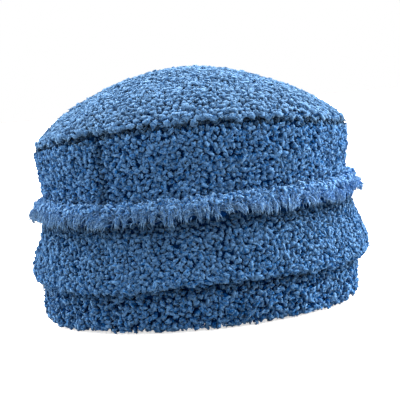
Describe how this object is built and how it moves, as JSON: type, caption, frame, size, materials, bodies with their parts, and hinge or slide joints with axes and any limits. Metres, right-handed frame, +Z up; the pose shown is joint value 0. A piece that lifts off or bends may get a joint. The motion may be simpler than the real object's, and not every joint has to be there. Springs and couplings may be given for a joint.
{
  "type": "sherpa fleece beanie",
  "caption": "Soft pillbox beanie in nubby sherpa fleece with a domed crown, a brushed tuck round its side and a flared, folded middle band over a straight lower band.",
  "frame": {"origin": "middle of the oval hem, on the plane that the hat stands on", "axes": "+X along the length of the head, which is the hat's longest extent; +Y across the head; +Z up from the hem to the crown"},
  "size_m": [0.2342, 0.1984, 0.1649],
  "materials": {
    "crown_fleece": "nubby sherpa pile, matt, steel blue, lit from above",
    "upper_fleece": "nubby sherpa pile, matt, steel blue",
    "tuck_fleece": "the same pile brushed out into soft locks",
    "middle_fleece": "nubby sherpa pile, matt, steel blue",
    "lower_fleece": "nubby sherpa pile, matt, steel blue, darker in its own shade"
  },
  "bodies": {
    "root": {"crown_tip": "crown_fleece", "upper_band": "upper_fleece", "upper_tuck": "tuck_fleece", "middle_band": "middle_fleece", "lower_band": "lower_fleece"}
  },
  "joints": []
}
